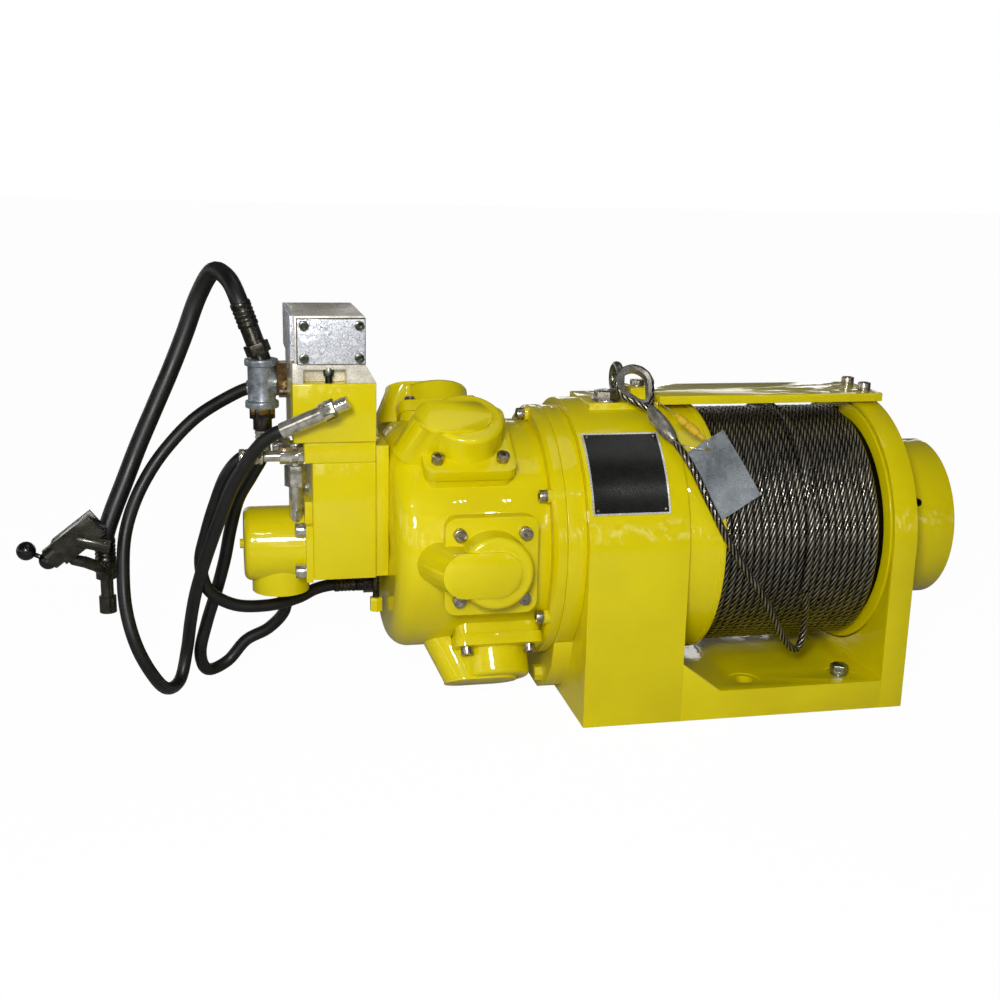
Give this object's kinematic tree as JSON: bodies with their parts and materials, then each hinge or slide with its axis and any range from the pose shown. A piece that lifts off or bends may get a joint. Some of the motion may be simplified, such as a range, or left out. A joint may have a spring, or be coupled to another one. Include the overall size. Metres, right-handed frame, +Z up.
{
  "type": "air winch",
  "caption": "Air winch: radial piston air motor, planet gear housing and wire rope drum on one foot, with a valve block, hoses and a hand valve.",
  "frame": {"origin": "middle of the four foot holes, on the face that the winch stands on", "axes": "+X along the drum axis from the motor to the bearing cover, -Y the open front with the nameplate, +Z up"},
  "size_m": [0.9959, 0.331, 0.4605],
  "materials": {
    "yellow_paint": "glossy greenish yellow enamel",
    "steel": "bare machined steel",
    "zinc": "zinc plated fasteners",
    "plated": "plated fittings",
    "dark_steel": "oiled dark steel",
    "galvanised": "galvanised malleable iron",
    "aluminium": "silver hammertone and bare alloy",
    "bronze": "bronze",
    "lining": "brake lining",
    "rope": "greased galvanised wire rope",
    "rubber": "black hose rubber",
    "black_plastic": "black moulded knob",
    "plate": "black printed metal plate, bare"
  },
  "bodies": {
    "frame": {"base_plate": "yellow_paint", "gear_housing": "yellow_paint", "end_plate": "yellow_paint", "tie_beam": "yellow_paint", "bearing_cover": "yellow_paint", "frame_bolts": "zinc", "oil_plugs": "zinc", "eye_bolt": "dark_steel", "nameplate": "plate", "bearings": "steel", "rope_tail": "rope", "rope_eye": "rope", "thimble": "steel", "tag": "aluminium", "carrier": "steel", "planet_cage": "steel", "brake_plates": "steel", "brake_springs": "steel", "housing_ring": "yellow_paint", "motor_flange": "yellow_paint", "motor_casing": "yellow_paint", "cylinder_covers": "yellow_paint", "motor_screws": "zinc", "pistons": "aluminium", "con_rods": "steel", "pins": "steel", "valve_flange": "yellow_paint", "lower_block": "yellow_paint", "middle_block": "yellow_paint", "upper_block": "yellow_paint", "valve_foot": "aluminium", "valve_body": "aluminium", "valve_covers": "aluminium", "small_screws": "zinc", "pilot_unit": "yellow_paint", "tee": "galvanised", "swivels": "dark_steel", "plated_fittings": "plated", "dark_fittings": "dark_steel", "crimped_end": "plated", "main_hose": "rubber", "long_hose": "rubber", "return_hose": "rubber", "pilot_hose": "rubber", "hand_valve": "dark_steel"},
    "drum": {"drum": "yellow_paint", "rope_core": "rope", "rope_winding": "rope", "ring_gear": "steel", "brake_discs": "lining"},
    "crank": {"crankshaft": "steel", "sun_gear": "steel", "rotary_valve": "bronze"},
    "planet_one": {"planet_a": "steel"},
    "planet_two": {"planet_b": "steel"},
    "planet_three": {"planet_c": "steel"},
    "brake_piston": {"brake_piston": "steel"},
    "spool": {"spool": "steel"},
    "hand_lever": {"hand_lever": "black_plastic"}
  },
  "joints": [
    {"name": "drum_spin", "type": "hinge", "parent": "frame", "child": "drum", "pos_m": [-0.0425, 0, 0.1766], "axis": [1, 0, 0], "continuous": true},
    {"name": "crank_spin", "type": "hinge", "parent": "frame", "child": "crank", "pos_m": [-0.3025, 0, 0.1766], "axis": [1, 0, 0], "continuous": true},
    {"name": "planet_one_spin", "type": "hinge", "parent": "frame", "child": "planet_one", "pos_m": [-0.1175, 0.063, 0.1766], "axis": [1, 0, 0], "continuous": true},
    {"name": "planet_two_spin", "type": "hinge", "parent": "frame", "child": "planet_two", "pos_m": [-0.1175, -0.0315, 0.23116], "axis": [1, 0, 0], "continuous": true},
    {"name": "planet_three_spin", "type": "hinge", "parent": "frame", "child": "planet_three", "pos_m": [-0.1175, -0.0315, 0.12204], "axis": [1, 0, 0], "continuous": true},
    {"name": "brake_release", "type": "slide", "parent": "frame", "child": "brake_piston", "axis": [1, 0, 0], "range_m": [0, 0.0015], "stiffness_N_per_m": 60000, "springref_m": -0.004, "deforming": ["brake_springs"]},
    {"name": "spool_shift", "type": "slide", "parent": "frame", "child": "spool", "axis": [0, 1, 0], "range_m": [-0.006, 0.006], "stiffness_N_per_m": 1500},
    {"name": "lever_tilt", "type": "hinge", "parent": "frame", "child": "hand_lever", "pos_m": [-0.77244, -0.03, 0.1696], "axis": [0, 1, 0], "range_deg": [-12, 12], "stiffness_Nm_per_rad": 0.6}
  ],
  "couplings": [
    {"joint": "crank_spin", "follows": "drum_spin", "ratio": -6},
    {"joint": "planet_one_spin", "follows": "drum_spin", "ratio": 2.4},
    {"joint": "planet_two_spin", "follows": "drum_spin", "ratio": 2.4},
    {"joint": "planet_three_spin", "follows": "drum_spin", "ratio": 2.4}
  ]
}
